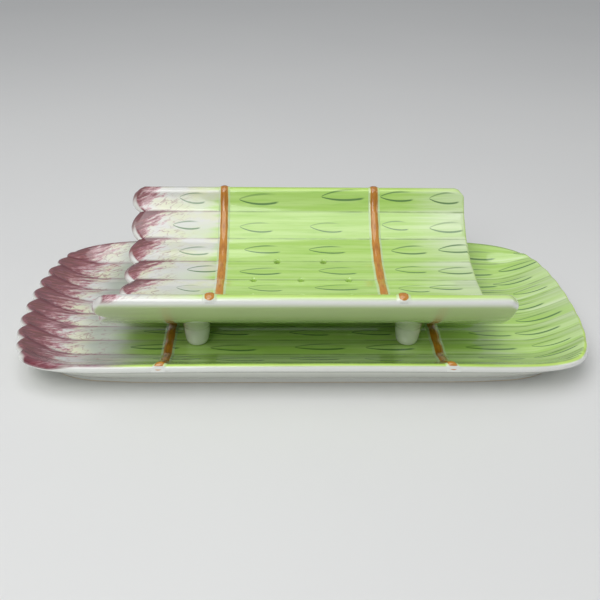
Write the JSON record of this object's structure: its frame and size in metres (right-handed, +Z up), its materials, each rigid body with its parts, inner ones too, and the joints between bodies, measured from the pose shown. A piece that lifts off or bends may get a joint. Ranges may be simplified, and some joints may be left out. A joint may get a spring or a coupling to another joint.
{
  "type": "asparagus platter with lift-off drainer",
  "caption": "Glazed earthenware platter moulded as a bundle of asparagus spears, with a footed trough-shaped drainer that lifts off.",
  "frame": {"origin": "under the middle of the whole object, on the table", "axes": "+X along the spears towards their cut ends, +Y across the spears towards the back, +Z up"},
  "size_m": [0.3939, 0.1898, 0.0748],
  "materials": {
    "platter_glaze": "gloss, hand painted: plum tips, pale shoulders, yellow-green spears, white walls",
    "cradle_glaze": "gloss, hand painted: plum tips, pale shoulders, yellow-green spears, white rims and underside",
    "tie_glaze": "gloss, hand painted orange-brown with a pale border",
    "foot_glaze": "gloss, cream white",
    "bare_clay": "matt, ground and unglazed"
  },
  "bodies": {
    "platter": {"platter": "platter_glaze", "platter_foot_ring": "bare_clay", "platter_tie_left": "tie_glaze", "platter_tie_right": "tie_glaze"},
    "cradle": {"cradle": "cradle_glaze", "cradle_tie_left": "tie_glaze", "cradle_tie_right": "tie_glaze", "cradle_foot_front_left": "foot_glaze", "cradle_foot_front_right": "foot_glaze", "cradle_foot_back_left": "foot_glaze", "cradle_foot_back_right": "foot_glaze"}
  },
  "joints": [
    {"name": "cradle_lift", "type": "slide", "parent": "platter", "child": "cradle", "axis": [0, 0, 1], "range_m": [0, 0.09]}
  ]
}
